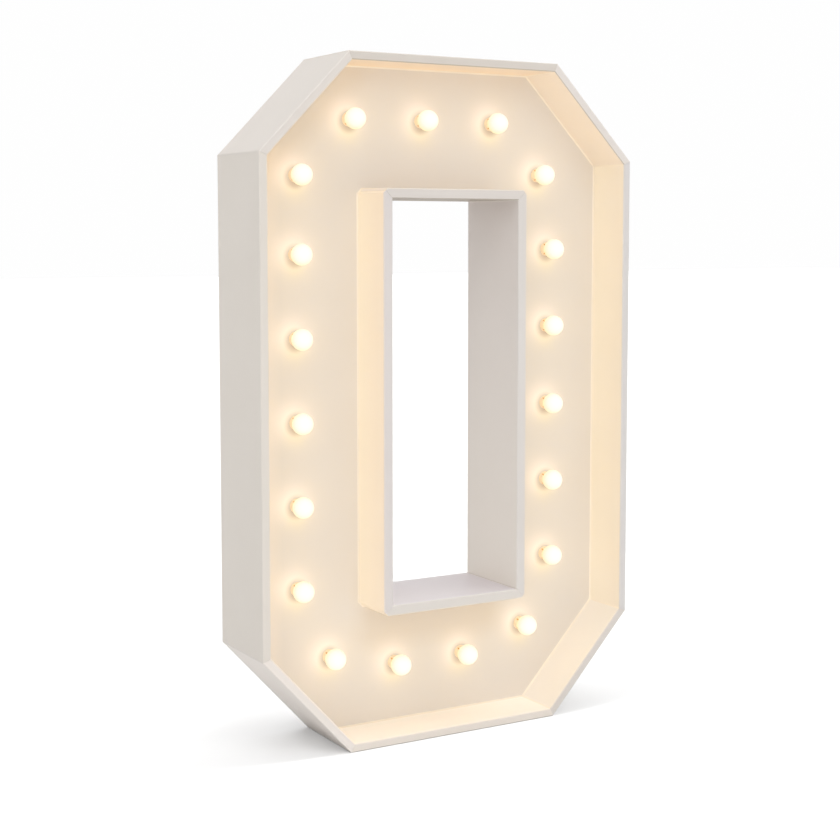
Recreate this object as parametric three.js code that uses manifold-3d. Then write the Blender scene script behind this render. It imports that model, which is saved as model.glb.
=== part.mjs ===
// A free-standing light up marquee number, a nought: eight outer boards and four inner boards
// around a face set back in between, with nineteen globe bulbs in screw lampholders.
// Millimetres, +Z up, the lit face towards -Y, the origin on the floor under the frame's middle.
import * as THREE from "three";
import { mergeVertices } from "three/addons/utils/BufferGeometryUtils.js";
import Module from "manifold-3d";

const wasm = await Module();
wasm.setup();

// Outer frame
const frameHeight = 1220;
const frameWidth = 770;
const frameDepth = 174;
const cornerAcross = 169; // a corner board's run, measured across
const topCornerUp = 174; // and measured up, at the two top corners
const bottomCornerUp = 183; // and at the two bottom ones
const outerBoard = 15; // board thickness
const edgeArris = 1.5; // planed edge of every board

// Inner frame round the opening
const openingWidth = 263;
const openingSill = 253; // floor to the opening's lower face
const openingHead = 249; // opening's upper face to the frame's top
const innerBoard = 18;
const innerClip = 8.5; // clipped corner on the channel side

// Face panel, held in a groove of every board
const faceRecess = 95; // front edge to the face
const faceThickness = 9;
const grooveDepth = 5;

// Rear cover, let into a rebate of every board
const coverInset = 6; // back edge to the cover's outer face
const coverThickness = 6;
const rebateWidth = 9;

// Fits
const clearance = 0.3;
const overrun = 5; // how far a cutting shape runs past what it cuts

// Globe bulb, measured outwards from the face
const globeRadius = 18.9;
const globeReach = 27.3; // face to the globe's centre
const neckRadius = 8.5;
const neckLength = 1.6;
const capRadius = 7;
const capTipRadius = 3.2;
const capTipLength = 3;
const capLength = 23.4; // neck to the tip's end

// Lampholder, clamped on the face panel between its collar and its ring
const collarRadius = 12.7;
const collarLip = 1.2; // chamfer round the collar's front
const collarReach = 8; // face to the collar's front
const holderNeckRadius = 10.5;
const ringRadius = 17;
const ringThickness = 4.5;
const shellRadius = 10.3; // slim enough to go in through the face's hole
const holderLength = 37; // collar's front to the shell's end
const boreClearance = 0.5; // round the bulb's cap

// Where the bulbs sit, clockwise from the bottom: share of the frame's half width, then of the
// way up the channel below or above the opening, or beside it of the frame's height
const lampPlaceShares = [
  ["below", -0.2, 0.49], ["beside", -0.55, 0.124],
  ["beside", -0.713, 0.23], ["beside", -0.713, 0.353], ["beside", -0.713, 0.474],
  ["beside", -0.713, 0.595], ["beside", -0.713, 0.716], ["beside", -0.71, 0.829],
  ["above", -0.437, 0.566], ["above", -0.053, 0.572], ["above", 0.337, 0.572],
  ["beside", 0.611, 0.836],
  ["beside", 0.67, 0.722], ["beside", 0.67, 0.603], ["beside", 0.67, 0.481],
  ["beside", 0.67, 0.36], ["beside", 0.67, 0.24],
  ["beside", 0.521, 0.133], ["below", 0.174, 0.49],
];

// Power entry on the rear cover
const entryHeight = 70; // floor to the inlet, the switch and the terminal block
const entrySpread = 40; // middle of the object to the inlet, and to the switch

const inletWidth = 27;
const inletHeight = 20;
const inletDepth = 20; // behind the cover's outer face
const inletRim = 3; // flange beyond the body, all round
const flangeThickness = 2;
const inletWall = 1.7;
const inletSocket = 14; // depth of the socket
const inletCut = 4; // socket's two cut corners
const pinWidth = 2;
const pinHeight = 4;
const pinLength = 11;
const pinSpread = 7; // outer pins, from the middle
const pinDrop = 2; // outer pins below the middle, and the middle pin above it
const tabLength = 8;

const rockerLength = 15.2;
const rockerWidth = 9.8;
const rockerRise = 4.2; // pivot to the rocker's two ends
const rockerValley = 2.4; // pivot to the rocker's middle
const rockerSide = 2; // height of an end face
const rockerDrop = 3; // pivot to the underside
const rockerFoot = 8; // length of the underside
const rockerTilt = 12; // degrees, either way from level
const rockerSink = 2.5; // pivot below the flange's face
const trunnionRadius = 1.5;
const trunnionReach = 1.2;
const switchWall = 2.4;
const switchRim = 1.8;
const switchFloor = 8;

const blockWidth = 38;
const blockHeight = 16;
const blockDepth = 18;
const blockWells = 3; // screw wells in the block's rear face
const wellRadius = 2.6;
const wellDepth = 6;

const wiringRadius = 3.5;
const leadRadius = 3;
const bendReach = 16; // how far a lead runs before it turns

// Facets
const roundFacets = 12;
const holeFacets = 16;
const globeRows = 7;
const cordFacets = 6;

// Planes along Y
const frontPlane = -frameDepth / 2;
const backPlane = frameDepth / 2;
const facePlane = frontPlane + faceRecess;
const faceBack = facePlane + faceThickness;
const coverOuter = backPlane - coverInset;
const coverInner = coverOuter - coverThickness;

const paintedTimber = new THREE.MeshStandardMaterial({ color: 0xe3dcd4, roughness: 0.55, metalness: 0 });
const paintedFace = new THREE.MeshStandardMaterial({ color: 0xe8dccb, roughness: 0.6, metalness: 0 });
const opalGlass = new THREE.MeshStandardMaterial({ color: 0xfff4dc, emissive: 0xffd9a0, roughness: 0.3, metalness: 0 });
const creamPlastic = new THREE.MeshStandardMaterial({ color: 0xf0e0bf, roughness: 0.45, metalness: 0 });
const blackPlastic = new THREE.MeshStandardMaterial({ color: 0x1c1c1d, roughness: 0.4, metalness: 0 });
const whiteCable = new THREE.MeshStandardMaterial({ color: 0xd9d6cf, roughness: 0.5, metalness: 0 });

const number = new THREE.Group();

// Turns a closed three.js geometry into a solid that can be joined and cut
function solidOf(geometry) {
  const bare = geometry.clone();
  bare.deleteAttribute("normal");
  bare.deleteAttribute("uv");
  const merged = mergeVertices(bare);
  const index = merged.getIndex().array;
  const corners = [];
  for (let i = 0; i < index.length; i += 3) {
    const [a, b, c] = [index[i], index[i + 1], index[i + 2]];
    if (a !== b && b !== c && c !== a) corners.push(a, b, c); // a lathe leaves flat ones at its axis
  }
  const mesh = new wasm.Mesh({
    numProp: 3,
    vertProperties: merged.getAttribute("position").array,
    triVerts: new Uint32Array(corners),
  });
  return new wasm.Manifold(mesh);
}

// Turns a solid back into a three.js geometry with flat facets
function geometryOf(solid) {
  const mesh = solid.getMesh();
  const indexed = new THREE.BufferGeometry();
  indexed.setAttribute("position", new THREE.BufferAttribute(new Float32Array(mesh.vertProperties), 3));
  indexed.setIndex(new THREE.BufferAttribute(new Uint32Array(mesh.triVerts), 1));
  const geometry = indexed.toNonIndexed();
  geometry.computeVertexNormals();
  return geometry;
}

function addPiece(parent, name, geometry, material) {
  const mesh = new THREE.Mesh(geometry, material);
  mesh.name = name;
  parent.add(mesh);
  return mesh;
}

function outline(points) {
  return new THREE.Shape(points.map(([x, y]) => new THREE.Vector2(x, y)));
}

// A shape drawn in X and Z, made thick along Y from a given plane
function slab(shape, fromY, thickness) {
  const geometry = new THREE.ExtrudeGeometry(shape, {
    depth: thickness,
    bevelEnabled: false,
    curveSegments: holeFacets / 2,
  });
  geometry.rotateX(Math.PI / 2);
  geometry.translate(0, fromY + thickness, 0);
  return geometry;
}

function block(width, depth, height, x, y, z) {
  const geometry = new THREE.BoxGeometry(width, depth, height);
  geometry.translate(x, y, z);
  return geometry;
}

// A profile of [radius, distance] points turned about the Y axis
function turned(points) {
  const profile = points.map(([radius, along]) => new THREE.Vector2(radius, along));
  return geometryOf(solidOf(new THREE.LatheGeometry(profile, roundFacets)));
}

function roundTube(path, radius, steps) {
  const section = new THREE.Shape();
  for (let i = 0; i < cordFacets; i += 1) {
    const angle = (i / cordFacets) * 2 * Math.PI;
    const point = [radius * Math.cos(angle), radius * Math.sin(angle)];
    if (i === 0) section.moveTo(...point);
    else section.lineTo(...point);
  }
  section.closePath();
  return new THREE.ExtrudeGeometry(section, { steps, bevelEnabled: false, extrudePath: path });
}

// The eight corners of the frame's outline, drawn in by an inset, clockwise from the top left
function outlineCorners(inset) {
  const side = frameWidth / 2;
  const cut = (cornerUp) => {
    const slope = Math.hypot(cornerAcross, cornerUp);
    const across = cornerAcross + (inset * (slope - cornerAcross)) / cornerUp;
    const up = cornerUp + (inset * (slope - cornerUp)) / cornerAcross;
    return { across, up };
  };
  const top = cut(topCornerUp);
  const bottom = cut(bottomCornerUp);
  return [
    [top.across - side, frameHeight - inset], [side - top.across, frameHeight - inset],
    [side - inset, frameHeight - top.up], [side - inset, bottom.up],
    [side - bottom.across, inset], [bottom.across - side, inset],
    [inset - side, bottom.up], [inset - side, frameHeight - top.up],
  ];
}

// The four corners of the opening, let out by a margin, anticlockwise from the top right
function openingCorners(margin) {
  const side = openingWidth / 2 + margin;
  const top = frameHeight - openingHead + margin;
  const bottom = openingSill - margin;
  return [[side, top], [-side, top], [-side, bottom], [side, bottom]];
}

// A board's cross section: how deep into the board, then where along Y, with the groove for
// the face and the rebate for the cover on the side away from zero
function boardSection(thickness) {
  const grooveFloor = thickness - grooveDepth;
  const rebateFloor = thickness - rebateWidth;
  return outline([
    [edgeArris, frontPlane], [thickness - edgeArris, frontPlane], [thickness, frontPlane + edgeArris],
    [thickness, facePlane - clearance], [grooveFloor, facePlane - clearance],
    [grooveFloor, faceBack + clearance], [thickness, faceBack + clearance],
    [thickness, coverInner - clearance], [rebateFloor, coverInner - clearance],
    [rebateFloor, backPlane], [edgeArris, backPlane], [0, backPlane - edgeArris],
    [0, frontPlane + edgeArris],
  ]);
}

// One mitred board from corner a to corner b; its thickness lies to the right of its run
function mitredBoard(before, a, b, after, thickness) {
  const run = (from, to) => new THREE.Vector2(to[0] - from[0], to[1] - from[1]).normalize();
  const inward = (d) => new THREE.Vector2(d.y, -d.x);
  const direction = run(a, b);
  const start = new THREE.Vector2(...a);
  const end = new THREE.Vector2(...b);
  const normal = inward(direction);

  // from a corner's outer point to its inner point, along the mitre
  const mitre = (other) => {
    const sum = normal.clone().add(inward(other));
    return sum.multiplyScalar(thickness / (1 + normal.dot(inward(other))));
  };
  const mitreStart = mitre(run(before, a));
  const mitreEnd = mitre(run(b, after));
  const setBack = (m) => (clearance / 2) / Math.abs(m.clone().normalize().cross(direction));

  const spare = thickness + overrun; // stock past both corners, where a mitre may lean outwards
  const section = new THREE.ExtrudeGeometry(boardSection(thickness), {
    depth: start.distanceTo(end) + 2 * spare,
    bevelEnabled: false,
  });
  section.translate(0, 0, -spare);
  const place = new THREE.Matrix4().makeBasis(
    new THREE.Vector3(normal.x, 0, normal.y),
    new THREE.Vector3(0, 1, 0),
    new THREE.Vector3(direction.x, 0, direction.y),
  );
  place.setPosition(start.x, 0, start.y);
  section.applyMatrix4(place);

  const past = overrun / thickness;
  const first = start.clone().addScaledVector(direction, setBack(mitreStart));
  const last = end.clone().addScaledVector(direction, -setBack(mitreEnd));
  const sawn = [
    first.clone().addScaledVector(mitreStart, -past),
    last.clone().addScaledVector(mitreEnd, -past),
    last.clone().addScaledVector(mitreEnd, 1 + past),
    first.clone().addScaledVector(mitreStart, 1 + past),
  ].map((p) => [p.x, p.y]);
  const saw = slab(outline(sawn), frontPlane - overrun, frameDepth + 2 * overrun);
  return solidOf(section).intersect(solidOf(saw));
}

function addOuterBoards() {
  const names = [
    "outer_top_board", "outer_top_right_board", "outer_right_board", "outer_bottom_right_board",
    "outer_bottom_board", "outer_bottom_left_board", "outer_left_board", "outer_top_left_board",
  ];
  const corners = outlineCorners(0);
  const at = (i) => corners[(i + corners.length) % corners.length];
  names.forEach((name, i) => {
    const board = mitredBoard(at(i - 1), at(i), at(i + 1), at(i + 2), outerBoard);
    addPiece(number, name, geometryOf(board), paintedTimber);
  });
}

// What the clipped corners take off the inner frame: a wedge at each of its four corners
function cornerClips() {
  return openingCorners(innerBoard).map(([x, z]) => {
    const sideways = Math.sign(x);
    const upwards = z > openingSill ? 1 : -1;
    const wedge = [
      [x + sideways * overrun, z - upwards * (innerClip + overrun)],
      [x + sideways * overrun, z + upwards * overrun],
      [x - sideways * (innerClip + overrun), z + upwards * overrun],
    ];
    return solidOf(slab(outline(wedge), frontPlane - overrun, frameDepth + 2 * overrun));
  });
}

function addInnerBoards() {
  const names = ["inner_top_board", "inner_left_board", "inner_bottom_board", "inner_right_board"];
  const corners = openingCorners(0);
  const at = (i) => corners[(i + corners.length) % corners.length];
  const clips = cornerClips();
  names.forEach((name, i) => {
    let board = mitredBoard(at(i - 1), at(i), at(i + 1), at(i + 2), innerBoard);
    clips.forEach((clip) => {
      board = board.subtract(clip);
    });
    addPiece(number, name, geometryOf(board), paintedTimber);
  });
}

// The eight sided ring that both the face panel and the rear cover are cut from; its two
// edges reach into the boards by a given depth
function ringShape(reach) {
  const shape = outline(outlineCorners(outerBoard - reach + clearance));
  shape.holes.push(new THREE.Path(openingCorners(innerBoard - reach + clearance)
    .map(([x, z]) => new THREE.Vector2(x, z))));
  return shape;
}

function lampPlaces() {
  const channels = {
    below: [outerBoard, openingSill - innerBoard],
    beside: [0, frameHeight],
    above: [frameHeight - openingHead + innerBoard, frameHeight - outerBoard],
  };
  return lampPlaceShares.map(([where, xShare, zShare]) => {
    const [low, high] = channels[where];
    return [(xShare * frameWidth) / 2, low + zShare * (high - low)];
  });
}

function addFacePanel() {
  const shape = ringShape(grooveDepth);
  lampPlaces().forEach(([x, z]) => {
    const hole = new THREE.Path();
    hole.absarc(x, z, holderNeckRadius + clearance, 0, 2 * Math.PI);
    shape.holes.push(hole);
  });
  addPiece(number, "face_panel", slab(shape, facePlane, faceThickness), paintedFace);
}

// Lampholder profile, from the face outwards positive
function lampholderGeometry() {
  const bore = capRadius + boreClearance;
  const floor = globeBack() - neckLength - capLength - clearance;
  const ringFront = -faceThickness - clearance;
  const end = collarReach - holderLength;
  return turned([
    [0, end], [shellRadius, end], [shellRadius, ringFront - ringThickness],
    [ringRadius, ringFront - ringThickness], [ringRadius, ringFront], [holderNeckRadius, ringFront],
    [holderNeckRadius, clearance], [collarRadius, clearance], [collarRadius, collarReach - collarLip],
    [collarRadius - collarLip, collarReach], [bore, collarReach], [bore, floor], [0, floor],
  ]);
}

// Where the globe meets the bulb's neck
function globeBack() {
  return globeReach - Math.sqrt(globeRadius ** 2 - neckRadius ** 2);
}

function bulbGeometry() {
  const neckEnd = globeBack() - neckLength;
  const tip = neckEnd - capLength;
  const points = [
    [0, tip], [capTipRadius, tip], [capRadius, tip + capTipLength], [capRadius, neckEnd], [neckRadius, neckEnd],
  ];
  const from = Math.asin(neckRadius / globeRadius);
  for (let row = 0; row < globeRows; row += 1) {
    const angle = from + ((Math.PI - from) * row) / globeRows;
    points.push([globeRadius * Math.sin(angle), globeReach - globeRadius * Math.cos(angle)]);
  }
  points.push([0, globeReach + globeRadius]);
  return turned(points);
}

function addLamps() {
  const holder = lampholderGeometry();
  const bulb = bulbGeometry();
  lampPlaces().forEach(([x, z], i) => {
    const lamp = new THREE.Group();
    lamp.position.set(x, facePlane, z);
    lamp.rotation.x = Math.PI; // the profiles point out of the face, towards -Y
    const label = String(i + 1).padStart(2, "0");
    addPiece(lamp, `lampholder_${label}`, holder, creamPlastic);
    addPiece(lamp, `bulb_${label}`, bulb, opalGlass);
    number.add(lamp);
  });
}

function rectangle(width, height, x, z) {
  return [
    [x - width / 2, z - height / 2], [x + width / 2, z - height / 2],
    [x + width / 2, z + height / 2], [x - width / 2, z + height / 2],
  ];
}

// The rocker's farthest corner from its pivot, and what its pocket and body need
const rockerSwing = Math.hypot(rockerLength / 2, rockerRise);
const pocketLength = 2 * (rockerSwing + clearance);
const pocketWidth = rockerWidth + 2 * clearance;
const pocketFloor = rockerSink + Math.hypot(rockerFoot / 2, rockerDrop) + clearance;
const switchWidth = pocketWidth + 2 * switchWall;
const switchLength = pocketLength + 2 * switchWall;
const flangeFace = clearance + flangeThickness; // in front of the cover's outer face
const switchDepth = pocketFloor - flangeFace + switchFloor;

function addRearCover() {
  const shape = ringShape(rebateWidth);
  [
    rectangle(inletWidth + 2 * clearance, inletHeight + 2 * clearance, -entrySpread, entryHeight),
    rectangle(switchWidth + 2 * clearance, switchLength + 2 * clearance, entrySpread, entryHeight),
  ].forEach((cutout) => {
    shape.holes.push(new THREE.Path(cutout.map(([x, z]) => new THREE.Vector2(x, z))));
  });
  addPiece(number, "rear_cover", slab(shape, coverInner, coverThickness), paintedTimber);
}

// Everything on the power entry is drawn about its own middle, with Y zero on the cover's
// outer face and outwards positive
function panelBody(width, height, depth, rim) {
  const body = solidOf(slab(outline(rectangle(width, height, 0, 0)), -depth, depth + flangeFace));
  const flange = slab(outline(rectangle(width + 2 * rim, height + 2 * rim, 0, 0)), clearance, flangeThickness);
  return body.add(solidOf(flange));
}

function addInlet() {
  const socketWidth = inletWidth - 2 * inletWall;
  const socketHeight = inletHeight - 2 * inletWall;
  const socketFloor = flangeFace - inletSocket;
  const socket = outline([
    [-socketWidth / 2, -socketHeight / 2], [socketWidth / 2, -socketHeight / 2],
    [socketWidth / 2, socketHeight / 2 - inletCut], [socketWidth / 2 - inletCut, socketHeight / 2],
    [inletCut - socketWidth / 2, socketHeight / 2], [-socketWidth / 2, socketHeight / 2 - inletCut],
  ]);
  let inlet = panelBody(inletWidth, inletHeight, inletDepth, inletRim);
  inlet = inlet.subtract(solidOf(slab(socket, socketFloor, inletSocket + overrun)));
  [[-pinSpread, -pinDrop], [0, pinDrop], [pinSpread, -pinDrop]].forEach(([x, z]) => {
    const root = socketFloor - inletWall;
    const pin = block(pinWidth, pinLength + inletWall, pinHeight, x, root + (pinLength + inletWall) / 2, z);
    const tab = block(pinHeight, tabLength + inletWall, pinWidth / 2, x, -inletDepth - (tabLength - inletWall) / 2, z);
    inlet = inlet.add(solidOf(pin)).add(solidOf(tab));
  });
  const mesh = addPiece(number, "power_inlet", geometryOf(inlet), blackPlastic);
  mesh.position.set(-entrySpread, coverOuter, entryHeight);
}

// A short round bar along X
function crossBar(radius, length) {
  const geometry = new THREE.CylinderGeometry(radius, radius, length, roundFacets);
  geometry.rotateZ(Math.PI / 2);
  return geometry;
}

function addSwitch() {
  const pivot = flangeFace - rockerSink;
  let body = panelBody(switchWidth, switchLength, switchDepth, switchRim);
  const pocket = slab(outline(rectangle(pocketWidth, pocketLength, 0, 0)), flangeFace - pocketFloor, pocketFloor + overrun);
  const trunnionHole = crossBar(trunnionRadius + clearance, pocketWidth + 2 * (trunnionReach + clearance));
  trunnionHole.translate(0, pivot, 0);
  body = body.subtract(solidOf(pocket)).subtract(solidOf(trunnionHole));
  [-1, 1].forEach((side) => {
    const reach = tabLength + inletWall;
    const tab = block(pinHeight, reach, pinWidth / 2, 0, -switchDepth - (tabLength - inletWall) / 2, (side * rockerLength) / 4);
    body = body.add(solidOf(tab));
  });
  const bodyMesh = addPiece(number, "switch_body", geometryOf(body), blackPlastic);
  bodyMesh.position.set(entrySpread, coverOuter, entryHeight);

  // the rocker's side view about its pivot: how far up, then how far out of the cover
  const half = rockerLength / 2;
  const side = outline([
    [-half, rockerRise], [0, rockerValley], [half, rockerRise], [half, rockerRise - rockerSide],
    [rockerFoot / 2, -rockerDrop], [-rockerFoot / 2, -rockerDrop], [-half, rockerRise - rockerSide],
  ]);
  const paddle = new THREE.ExtrudeGeometry(side, { depth: rockerWidth, bevelEnabled: false });
  paddle.translate(0, 0, -rockerWidth / 2);
  paddle.rotateY(-Math.PI / 2);
  const trunnion = crossBar(trunnionRadius, rockerWidth + 2 * (clearance + trunnionReach));
  const rockerSolid = solidOf(paddle).add(solidOf(trunnion));
  const rockerMesh = addPiece(number, "switch_rocker", geometryOf(rockerSolid), blackPlastic);
  rockerMesh.position.set(entrySpread, coverOuter + pivot, entryHeight);
  rockerMesh.rotation.x = THREE.MathUtils.degToRad(rockerTilt); // pressed on its upper half
}

function addTerminalBlock() {
  let terminals = solidOf(block(blockWidth, blockDepth, blockHeight, 0, blockDepth / 2, 0));
  for (let i = 0; i < blockWells; i += 1) {
    const x = ((i + 0.5) / blockWells - 0.5) * blockWidth;
    const well = new THREE.CylinderGeometry(wellRadius, wellRadius, wellDepth + overrun, roundFacets);
    well.translate(x, blockDepth - wellDepth + (wellDepth + overrun) / 2, 0);
    terminals = terminals.subtract(solidOf(well));
  }
  const mesh = addPiece(number, "terminal_block", geometryOf(terminals), whiteCable);
  mesh.position.set(0, faceBack + clearance, entryHeight);
}

// A lead from a body on the cover to one end of the terminal block, in the plane of both
function addLead(name, side, rear) {
  const blockMiddle = faceBack + clearance + blockDepth / 2;
  const from = new THREE.Vector3(side * entrySpread, rear - clearance, entryHeight);
  const to = new THREE.Vector3(side * (blockWidth / 2 + clearance), blockMiddle, entryHeight);
  const path = new THREE.CubicBezierCurve3(
    from,
    new THREE.Vector3(from.x, from.y - bendReach, entryHeight),
    new THREE.Vector3(to.x + side * bendReach, to.y, entryHeight),
    to,
  );
  addPiece(number, name, roundTube(path, leadRadius, cordFacets), whiteCable);
}

// The wiring leaves the top of the terminal block and passes the end of every lampholder
function addWiring() {
  const alongY = facePlane + (holderLength - collarReach) + clearance + wiringRadius;
  const blockTop = entryHeight + blockHeight / 2 + clearance;
  const blockMiddle = faceBack + clearance + blockDepth / 2;
  const [[firstX, firstZ]] = lampPlaces();
  const points = [
    new THREE.Vector3(0, blockMiddle, blockTop),
    new THREE.Vector3(0, blockMiddle, blockTop + 2 * wiringRadius),
    new THREE.Vector3(0, alongY, blockTop + 4 * wiringRadius),
    new THREE.Vector3(firstX / 2, alongY, firstZ),
  ];
  lampPlaces().forEach(([x, z]) => points.push(new THREE.Vector3(x, alongY, z)));
  const path = new THREE.CatmullRomCurve3(points, false, "centripetal");
  const steps = 4 * lampPlaceShares.length;
  addPiece(number, "lamp_wiring", roundTube(path, wiringRadius, steps), whiteCable);
}

addOuterBoards();
addInnerBoards();
addFacePanel();
addLamps();
addRearCover();
addInlet();
addSwitch();
addTerminalBlock();
addLead("inlet_lead", -1, coverOuter - inletDepth - tabLength);
addLead("switch_lead", 1, coverOuter - switchDepth - tabLength);
addWiring();

export default number;
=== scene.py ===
# Looks for a lit marquee nought: painted boards, opal globes, lampholders, back panel fittings
import math

import bmesh
import bpy
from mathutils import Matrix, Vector


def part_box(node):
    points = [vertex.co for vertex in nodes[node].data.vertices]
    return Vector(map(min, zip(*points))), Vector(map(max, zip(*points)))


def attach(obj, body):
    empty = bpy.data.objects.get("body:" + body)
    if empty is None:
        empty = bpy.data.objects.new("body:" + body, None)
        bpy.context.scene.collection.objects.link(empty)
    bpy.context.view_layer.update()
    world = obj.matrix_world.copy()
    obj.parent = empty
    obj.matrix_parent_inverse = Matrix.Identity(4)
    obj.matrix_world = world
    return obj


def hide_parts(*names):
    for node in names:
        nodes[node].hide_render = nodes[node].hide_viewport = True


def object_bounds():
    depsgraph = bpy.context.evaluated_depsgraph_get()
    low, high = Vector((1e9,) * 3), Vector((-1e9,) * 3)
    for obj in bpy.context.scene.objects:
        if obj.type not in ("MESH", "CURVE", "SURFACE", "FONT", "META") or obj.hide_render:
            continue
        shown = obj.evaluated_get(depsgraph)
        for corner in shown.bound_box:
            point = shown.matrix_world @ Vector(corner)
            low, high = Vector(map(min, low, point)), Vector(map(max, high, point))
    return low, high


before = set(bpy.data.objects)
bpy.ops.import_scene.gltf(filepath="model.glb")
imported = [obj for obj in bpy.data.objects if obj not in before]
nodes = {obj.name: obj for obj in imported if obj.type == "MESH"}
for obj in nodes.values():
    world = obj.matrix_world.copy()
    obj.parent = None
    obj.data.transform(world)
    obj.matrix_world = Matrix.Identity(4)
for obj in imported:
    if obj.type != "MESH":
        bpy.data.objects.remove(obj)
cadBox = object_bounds()


# a shader socket that takes arithmetic
class Wire:
    def __init__(self, finish, socket):
        self.finish = finish
        self.socket = socket

    def math(self, operation, first, second):
        return self.finish.node("ShaderNodeMath", {"operation": operation}, {0: first, 1: second})

    def __add__(self, other):
        return self.math("ADD", self, other)

    __radd__ = __add__

    def __sub__(self, other):
        return self.math("SUBTRACT", self, other)

    def __mul__(self, other):
        return self.math("MULTIPLY", self, other)

    __rmul__ = __mul__

    def size(self):
        return self.math("ABSOLUTE", self, 0)


# one material and its nodes, or a world and its nodes
class Finish:
    def __init__(self, name, library=None):
        library = bpy.data.materials if library is None else library
        self.material = library.new(name)
        self.material.use_nodes = True
        self.tree = self.material.node_tree
        self.tree.nodes.clear()

    def node(self, kind, settings=None, sockets=None, output=0):
        made = self.tree.nodes.new(kind)
        for key, value in (settings or {}).items():
            if key == "stops":
                self.setStops(made.color_ramp, value)
            else:
                setattr(made, key, value)
        for key, value in (sockets or {}).items():
            if isinstance(value, Wire):
                self.tree.links.new(value.socket, made.inputs[key])
            else:
                made.inputs[key].default_value = value
        return Wire(self, made.outputs[output]) if len(made.outputs) else None

    def setStops(self, ramp, stops):
        while len(ramp.elements) < len(stops):
            ramp.elements.new(1)
        for element, (place, colour) in zip(ramp.elements, stops):
            element.position = place
            element.color = (*colour, 1)

    def place(self):  # a point's place, in the metres of its own object
        return self.node("ShaderNodeTexCoord", output=3)

    def along(self, axis):  # and how far along X, Y or Z it is
        sockets = {"Vector": self.place()}
        return self.node("ShaderNodeSeparateXYZ", sockets=sockets, output="XYZ".index(axis))

    def vector(self, operation, first, second):  # a vector from two
        return self.node("ShaderNodeVectorMath", {"operation": operation}, {0: first, 1: second})

    def number(self, operation, first, second):  # a number from two vectors
        settings = {"operation": operation}
        return self.node("ShaderNodeVectorMath", settings, {0: first, 1: second}, output=1)

    def noise(self, scale, detail):
        sockets = {"Vector": self.place(), "Scale": scale, "Detail": detail}
        return self.node("ShaderNodeTexNoise", sockets=sockets)

    def blend(self, factor, first, second):
        colours = {0: factor, 6: (*first, 1) if isinstance(first, tuple) else first}
        colours[7] = (*second, 1) if isinstance(second, tuple) else second
        return self.node("ShaderNodeMix", {"data_type": "RGBA"}, colours, output=2)

    def between(self, value, low, high):  # 0 at low, 1 at high
        sockets = {"Value": value, "From Min": low, "From Max": high}
        return self.node("ShaderNodeMapRange", sockets=sockets)

    def bump(self, height, strength, distance):
        sockets = {"Height": height, "Strength": strength, "Distance": distance}
        return self.node("ShaderNodeBump", sockets=sockets)

    def surface(self, sockets):
        shader = self.node("ShaderNodeBsdfPrincipled", sockets=sockets)
        self.node("ShaderNodeOutputMaterial", sockets={"Surface": shader})
        return self.material


def linear(red, green, blue):  # an eye-dropper colour, 0 to 255, as scene light
    def one(value):
        share = value / 255
        return share / 12.92 if share <= 0.04045 else ((share + 0.055) / 1.055) ** 2.4
    return one(red), one(green), one(blue)


def dress(node, material):
    slots = nodes[node].data.materials
    if len(slots) == 0:
        slots.append(material)
    for index in range(len(slots)):
        slots[index] = material


# an edge is eased where it turns by more than the angle, in degrees; one whose way has a cosine
# above alike with the way of keep stays sharp
easing = {"angle": 30, "alike": 0.9}


def easeEdges(node, width, segments, keep=None):
    bevel = nodes[node].modifiers.new("easedEdges", "BEVEL")
    bevel.width = width
    bevel.segments = segments
    bevel.limit_method = "ANGLE"
    bevel.angle_limit = math.radians(easing["angle"])
    if keep:
        bevel.limit_method = "WEIGHT"
        weighEdges(nodes[node].data, keep)


# marks the edges that are to be eased, all but those that run the way keep does
def weighEdges(mesh, keep):
    shape = bmesh.new()
    shape.from_mesh(mesh)
    layer = shape.edges.layers.float.new("bevel_weight_edge")
    angle = math.radians(easing["angle"])
    for edge in shape.edges:
        sharp = len(edge.link_faces) == 2 and edge.calc_face_angle() > angle
        run = (edge.verts[0].co - edge.verts[1].co).normalized()
        edge[layer] = 1.0 if sharp and abs(run.dot(keep)) < easing["alike"] else 0.0
    shape.to_mesh(mesh)
    shape.free()


def meshPiece(name, mesh, body, place=(0, 0, 0), turn=(0, 0, 0), replaced=()):
    piece = bpy.data.objects.new(name, mesh)
    bpy.context.scene.collection.objects.link(piece)
    piece.location = place
    piece.rotation_euler = turn
    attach(piece, body)
    if replaced:
        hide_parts(*replaced)
    return piece


# a closed mesh turned about its Z axis; profileAt(angle) gives (radius, along) from axis to axis
def turnedMesh(name, profileAt, angles, material, sharpAngle=35):
    shape = bmesh.new()
    profile = profileAt(angles[0])
    bottom = shape.verts.new((0, 0, profile[0][1]))
    top = shape.verts.new((0, 0, profile[-1][1]))
    rings = []
    for angle in angles:
        rings.append([
            shape.verts.new((radius * math.cos(angle), radius * math.sin(angle), along))
            for radius, along in profileAt(angle)[1:-1]
        ])
    for index, ring in enumerate(rings):
        other = rings[(index + 1) % len(rings)]
        shape.faces.new((bottom, other[0], ring[0]))
        shape.faces.new((top, ring[-1], other[-1]))
        for row in range(len(ring) - 1):
            shape.faces.new((ring[row], other[row], other[row + 1], ring[row + 1]))
    return finishMesh(name, shape, material, sharpAngle)


def finishMesh(name, shape, material, sharpAngle=35):
    bmesh.ops.recalc_face_normals(shape, faces=shape.faces[:])
    for face in shape.faces:
        face.smooth = True
    for edge in shape.edges:
        edge.smooth = len(edge.link_faces) == 2 and edge.calc_face_angle() < math.radians(sharpAngle)
    mesh = bpy.data.meshes.new(name)
    shape.to_mesh(mesh)
    shape.free()
    if material:
        mesh.materials.append(material)
    return mesh


def evenAngles(count):
    return [2 * math.pi * index / count for index in range(count)]


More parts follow.
